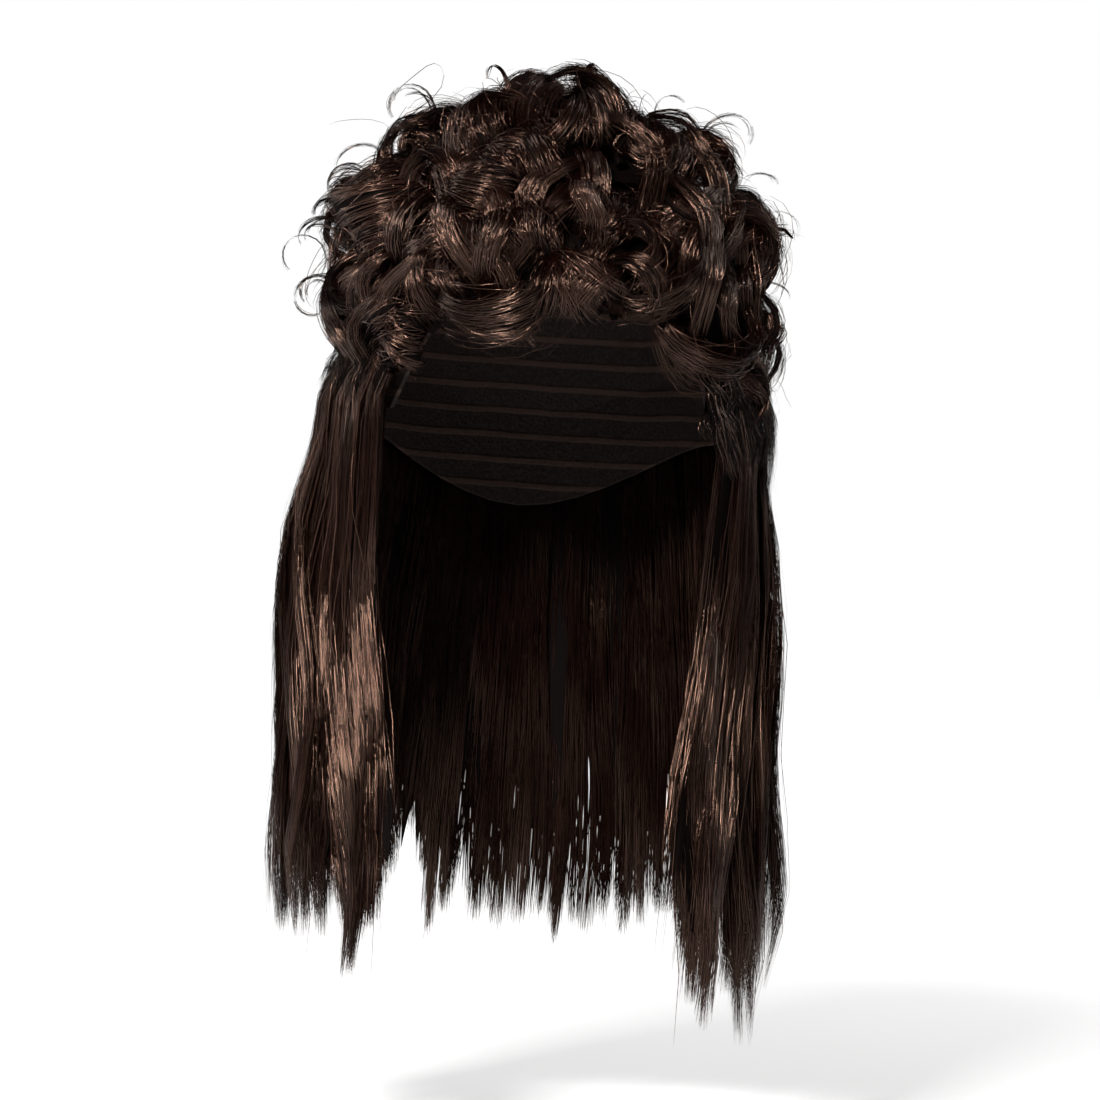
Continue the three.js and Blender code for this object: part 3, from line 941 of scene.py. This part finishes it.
def hang(fibres, panel, shares, ends, layers, tones):
    """Fibres that hang in a panel, at shares of its width and depth, down to the heights of their ends.
    Deeper ones are darkened with painted shade.
    """
    look = LENGTH_FIBRE
    count, stations = len(ends), LENGTH_STATIONS
    columns = np.linspace(0, 1, 2 * panel["locks"] + 1)
    taper = from_table(column(PANEL_TAPER, "along"), column(PANEL_TAPER, "thickness"), stations)
    full = mix(PANEL["even"], np.interp(shares, columns, panel_fullness(panel)), stations)
    rounds = panel["from"] + (panel["to"] - panel["from"]) * shares
    rounds = rounds + wander(count, len(stations), look["wander_aside"]) * stations
    slide = rng.uniform(-1, 1, (count, 1)) * look["slide"] * np.sin(np.pi * stations)
    heights = mix(panel_top(rounds[:, :1]) + ROOT_RISE, ends, stations + slide)
    ripple = np.sin(2 * np.pi * (rng.uniform(*look["ripples"]) * stations + rng.uniform(0, 1)))
    outs = PANEL["thickness"] * full * taper * layers
    outs = outs + look["ripple"] * ripple * rise(stations, *look["ripple_between"])
    outs = outs + wander(count, len(stations), look["wander_out"])
    shift = rng.normal(0, look["strand_shift"]) + rng.normal(0, look["own_shift"], (count, 1))
    points = drape_point(rounds, heights, outs, shift * rise(stations, *look["shift_between"]))
    angle = drape_angle(rounds, heights)
    east = np.stack([cos(angle), sin(angle), 0 * angle], axis=-1)
    roll = rng.normal(0, look["roll"], (count, 1, 1))
    facing = drape_normal(angle) * cos(roll) + east * sin(roll)
    half_width = rng.uniform(*look["half_width"], (count, 1)) * tapered(stations, look["tip_steepness"])
    # Fibres deeper in a panel are darker: painted shade
    depth = mix(look["inner_painted_shade"], 1, np.clip(layers, 0, 1))
    fibres.ribbons(points, facing, half_width, np.clip(tones, *TONE_LIMITS) * depth)


def gathered(shares, middles):
    """The nearest of some middles to each share of a width: its number and its place."""
    own = np.argmin(np.abs(shares[..., None] - middles), axis=-1)
    return own, middles[own]


def panel_strands(fibres, panel, number):
    """The strands of a panel, which gather into its few big locks, and those into tufts at their tips."""
    stations = LENGTH_STATIONS
    columns = np.linspace(0, 1, 2 * panel["locks"] + 1)
    tips = panel_tips(panel, number)
    tufts = TUFT["per_lock"] * panel["locks"]
    lock_middles = (np.arange(panel["locks"]) + 0.5) / panel["locks"]
    tuft_middles = (np.arange(tufts) + 0.5 + rng.uniform(-1, 1, tufts) * TUFT["uneven"]) / tufts
    tuft_ends = np.abs(rng.normal(0, TUFT["ragged"], tufts))
    strands = round((panel["to"] - panel["from"]) / STRAND["spacing"])
    count = panel["fibres"]
    for k in range(strands):
        middle = (k + 0.5 + rng.normal(0, STRAND["aside"])) / strands
        swing = rng.normal(0, STRAND["sway"])
        sway = swing * np.sin(2 * np.pi * (STRAND["sways"] * stations + rng.uniform(0, 1)))
        breadth = STRAND["half_breadth"]
        shares = middle + rng.uniform(-breadth, breadth, (count, 1)) / strands
        shares = np.clip(shares, -STRAND["overhang"], 1 + STRAND["overhang"])
        _, lock_middle = gathered(shares, lock_middles)
        own_tuft, tuft_middle = gathered(shares, tuft_middles)
        held = rng.uniform(0, 1, (count, 1)) > TUFT["free"]
        gather = held * rng.normal(panel["gather"], STRAND["gather_spread"], (count, 1))
        pull = gather * rise(stations, STRAND["gather_from"], 1)
        draw = held * TUFT["gather"] * rise(stations, TUFT["gather_from"], 1)
        places = mix(mix(shares, tuft_middle, draw), lock_middle, pull) + sway
        from_middle = np.abs(shares - tuft_middle) * 2 * tufts
        ends = np.interp(shares, columns, tips) + tuft_ends[own_tuft] + TUFT["point"] * from_middle
        ends = ends + np.abs(rng.normal(0, STRAND["end_play"], (count, 1)))
        layers = rng.uniform(*STRAND["layer"]) + STRAND["layer_play"] * rng.uniform(-1, 1, (count, 1))
        tone = panel["tone"] + STRAND["tone_play"] * rng.uniform(-1, 1)
        hang(fibres, panel, places, ends, layers, tone + rng.normal(0, STRAND["tone_spread"], (count, 1)))


def panel_sheet(fibres, panel):
    """A dark sheet of painted shade for the mass of hair inside a panel, which ends unevenly above its
    tips.
    """
    first, last = panel["from"] - SHEET["overhang"], panel["to"] + SHEET["overhang"]
    around = np.linspace(first, last, SHEET["columns"])[:, None]
    reach = SHEET["end"] + SHEET["ragged"] * rng.uniform(-1, 1, (SHEET["columns"], 1))
    heights = mix(panel_top(around) + ROOT_RISE, panel["tip"], reach * np.linspace(0, 1, SHEET["rows"]))
    fibres.sheet(drape_point(around, heights, SHEET["depth"] * PANEL["thickness"], 0))


def loose_hairs(fibres, panel):
    """Single lighter hairs that cross the outside of a panel."""
    stations, count = LENGTH_STATIONS, LOOSE["hairs"]
    starts = rng.uniform(LOOSE["inset"], 1 - LOOSE["inset"], (count, 1))
    aside = rng.normal(0, LOOSE["straying"], (count, 1)) * stations
    aside = aside + wander(count, len(stations), LOOSE["wander"])
    ends = mix(panel_top(panel["from"]), panel["tip"], rng.uniform(LOOSE["shortest"], 1, (count, 1)))
    layers, tones = np.full((count, 1), LOOSE["layer"]), np.full((count, 1), LOOSE["tone"])
    places = np.clip(starts + aside, -LOOSE["overhang"], 1 + LOOSE["overhang"])
    hang(fibres, panel, places, ends, layers, tones)


def panel_piece(panel, number, materials):
    """A panel of long hair."""
    fibres = Fibres()
    panel_strands(fibres, panel, number)
    panel_sheet(fibres, panel)
    loose_hairs(fibres, panel)
    return fibres.piece(panel["name"] + "_hair", materials)


# Materials


def hair_material():
    material = bpy.data.materials.new("hair")
    material.use_nodes = True
    nodes, links = material.node_tree.nodes, material.node_tree.links
    shader = nodes["Principled BSDF"]
    strand = nodes.new("ShaderNodeUVMap")
    strand.uv_map = "strand"
    split = nodes.new("ShaderNodeSeparateXYZ")
    links.new(strand.outputs["UV"], split.inputs[0])
    ramp = nodes.new("ShaderNodeValToRGB")
    stops = [
        (0.0, (0.0016, 0.0003, 0.0002)),
        (0.4, (0.0048, 0.0010, 0.0006)),
        (0.75, (0.0105, 0.0034, 0.0022)),
        (1.0, (0.031, 0.0155, 0.0115)),
    ]
    ramp.color_ramp.elements.remove(ramp.color_ramp.elements[1])
    for place, colour in stops:
        stop = ramp.color_ramp.elements[0] if place == 0 else ramp.color_ramp.elements.new(place)
        stop.color = (*colour, 1)
    links.new(split.outputs["X"], ramp.inputs["Fac"])
    links.new(ramp.outputs["Color"], shader.inputs["Base Color"])
    shader.inputs["Roughness"].default_value = 0.21
    shader.inputs["IOR"].default_value = 1.55
    shader.inputs["Specular IOR Level"].default_value = 0.9
    shader.inputs["Specular Tint"].default_value = (0.92, 0.58, 0.44, 1)
    return material


def shade_material():
    """Painted shade: the dark, matte mass of hair that shows between the fibres."""
    material = bpy.data.materials.new("hair_shade")
    material.use_nodes = True
    shader = material.node_tree.nodes["Principled BSDF"]
    shader.inputs["Base Color"].default_value = (0.0016, 0.0007, 0.0005, 1)
    shader.inputs["Roughness"].default_value = 0.7
    shader.inputs["Specular IOR Level"].default_value = 0.05
    return material


def cap_material():
    """Fine stretch net with rows of sewn wefts."""
    material = bpy.data.materials.new("cap_net")
    material.use_nodes = True
    nodes, links = material.node_tree.nodes, material.node_tree.links
    shader = nodes["Principled BSDF"]
    place = nodes.new("ShaderNodeTexCoord")
    knit = nodes.new("ShaderNodeTexVoronoi")
    knit.inputs["Scale"].default_value = 700
    links.new(place.outputs["Object"], knit.inputs["Vector"])
    rows = nodes.new("ShaderNodeTexWave")
    rows.bands_direction = "Z"
    rows.inputs["Scale"].default_value = 2 * math.pi / (WAVE_TEXTURE_RADIANS * WEFT_SPACING * MM)
    rows.inputs["Distortion"].default_value = 0.6
    links.new(place.outputs["Object"], rows.inputs["Vector"])
    weft = nodes.new("ShaderNodeMapRange")
    weft.interpolation_type = "SMOOTHSTEP"
    weft.inputs["From Min"].default_value = 0.78
    weft.inputs["From Max"].default_value = 0.95
    links.new(rows.outputs["Fac"], weft.inputs["Value"])
    net = nodes.new("ShaderNodeValToRGB")
    net.color_ramp.elements[0].color = (0.008, 0.005, 0.0042, 1)
    net.color_ramp.elements[1].color = (0.03, 0.021, 0.018, 1)
    links.new(knit.outputs["Distance"], net.inputs["Fac"])
    colour = nodes.new("ShaderNodeMix")
    colour.data_type = "RGBA"
    colour.inputs[7].default_value = (0.055, 0.034, 0.026, 1)
    links.new(weft.outputs["Result"], colour.inputs[0])
    links.new(net.outputs["Color"], colour.inputs[6])
    links.new(colour.outputs[2], shader.inputs["Base Color"])
    height = nodes.new("ShaderNodeMath")
    height.operation = "MULTIPLY_ADD"
    height.inputs[1].default_value = 2.5
    links.new(weft.outputs["Result"], height.inputs[0])
    links.new(knit.outputs["Distance"], height.inputs[2])
    bump = nodes.new("ShaderNodeBump")
    bump.inputs["Strength"].default_value = 0.6
    bump.inputs["Distance"].default_value = 0.0006
    links.new(height.outputs[0], bump.inputs["Height"])
    links.new(bump.outputs["Normal"], shader.inputs["Normal"])
    shader.inputs["Roughness"].default_value = 0.8
    shader.inputs["Specular IOR Level"].default_value = 0.2
    return material


# Stage


def make_camera():
    """The camera at the photograph's angle, a little to the wearer's right, turned with the head's tilt."""
    aim = Vector(CAMERA["aim"]) * MM
    distance = CAMERA["distance"] * MM
    azimuth, roll = math.radians(CAMERA["azimuth"]), math.radians(CAMERA["roll"])
    data = bpy.data.cameras.new("camera")
    data.sensor_width = CAMERA["sensor"]
    data.lens = CAMERA["sensor"] * distance / (PHOTO["pixels"] * PHOTO["mm_per_pixel"] * MM)
    camera = bpy.data.objects.new("camera", data)
    place = aim + distance * Vector((math.sin(azimuth), -math.cos(azimuth), 0))
    look = (aim - place).to_track_quat("-Z", "Y").to_matrix().to_4x4()
    camera.matrix_world = Matrix.Translation(place) @ look @ Matrix.Rotation(roll, 4, "Z")
    bpy.context.scene.collection.objects.link(camera)
    bpy.context.scene.camera = camera


def make_light(name, place, size, power):
    data = bpy.data.lights.new(name, "AREA")
    data.shape = "RECTANGLE"
    data.size, data.size_y = size
    data.energy = power
    data.color = LIGHT_COLOUR
    light = bpy.data.objects.new(name, data)
    direction = Vector(LIGHT_AIM) - Vector(place)
    light.matrix_world = Matrix.Translation(place) @ direction.to_track_quat("-Z", "Y").to_matrix().to_4x4()
    bpy.context.scene.collection.objects.link(light)


def floor_material():
    """White paper: it takes soft shade near the wig, and is as bright as the backdrop further away."""
    material = bpy.data.materials.new("floor")
    material.use_nodes = True
    nodes, links = material.node_tree.nodes, material.node_tree.links
    shader = nodes["Principled BSDF"]
    shader.inputs["Base Color"].default_value = (0.78, 0.82, 0.86, 1)
    shader.inputs["Roughness"].default_value = 0.9
    shader.inputs["Emission Color"].default_value = (1, 1, 1, 1)
    place = nodes.new("ShaderNodeTexCoord")
    reach = nodes.new("ShaderNodeVectorMath")
    reach.operation = "LENGTH"
    links.new(place.outputs["Object"], reach.inputs[0])
    fade = nodes.new("ShaderNodeMapRange")
    fade.inputs["From Min"].default_value = 0.4
    fade.inputs["From Max"].default_value = 2.2
    fade.inputs["To Min"].default_value = 0.5
    links.new(reach.outputs["Value"], fade.inputs["Value"])
    path = nodes.new("ShaderNodeLightPath")
    seen = nodes.new("ShaderNodeMath")
    seen.operation = "MULTIPLY"
    links.new(fade.outputs["Result"], seen.inputs[0])
    links.new(path.outputs["Is Camera Ray"], seen.inputs[1])
    links.new(seen.outputs[0], shader.inputs["Emission Strength"])
    return material


def make_floor():
    half, level = 8.0, -0.42
    mesh = bpy.data.meshes.new("floor")
    corners = [(-half, -half, level), (half, -half, level), (half, half, level), (-half, half, level)]
    mesh.from_pydata(corners, [], [(0, 1, 2, 3)])
    mesh.materials.append(floor_material())
    floor = bpy.data.objects.new("floor", mesh)
    bpy.context.scene.collection.objects.link(floor)


def make_world():
    """A white backdrop, which lights the wig only weakly."""
    world = bpy.data.worlds.new("studio")
    world.use_nodes = True
    nodes, links = world.node_tree.nodes, world.node_tree.links
    glow = nodes["Background"]
    glow.inputs["Color"].default_value = (1, 1, 1, 1)
    path = nodes.new("ShaderNodeLightPath")
    level = nodes.new("ShaderNodeMapRange")
    level.inputs["To Min"].default_value = 0.05
    level.inputs["To Max"].default_value = 1.0
    links.new(path.outputs["Is Camera Ray"], level.inputs["Value"])
    links.new(level.outputs["Result"], glow.inputs["Strength"])
    bpy.context.scene.world = world
    bpy.context.scene.view_settings.view_transform = "Standard"


def make_stage():
    make_floor()
    make_world()
    for values in LIGHTS:
        make_light(**dict(zip(LIGHT_COLUMNS, values)))


make_camera()
make_stage()
hair = [hair_material(), shade_material()]
for zone_name, zone in ZONES.items():
    rng = np.random.default_rng(zone["seed"])
    piece = curl_piece(zone_name, hair)
    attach(piece, "root")
    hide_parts(zone_name)
for number, values in enumerate(PANELS):
    rng = np.random.default_rng(number)
    panel = dict(zip(PANEL_COLUMNS, values))
    piece = panel_piece(panel, number, hair)
    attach(piece, "root")
    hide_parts(panel["name"])

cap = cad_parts["cap"]
cap.data.materials.clear()
cap.data.materials.append(cap_material())
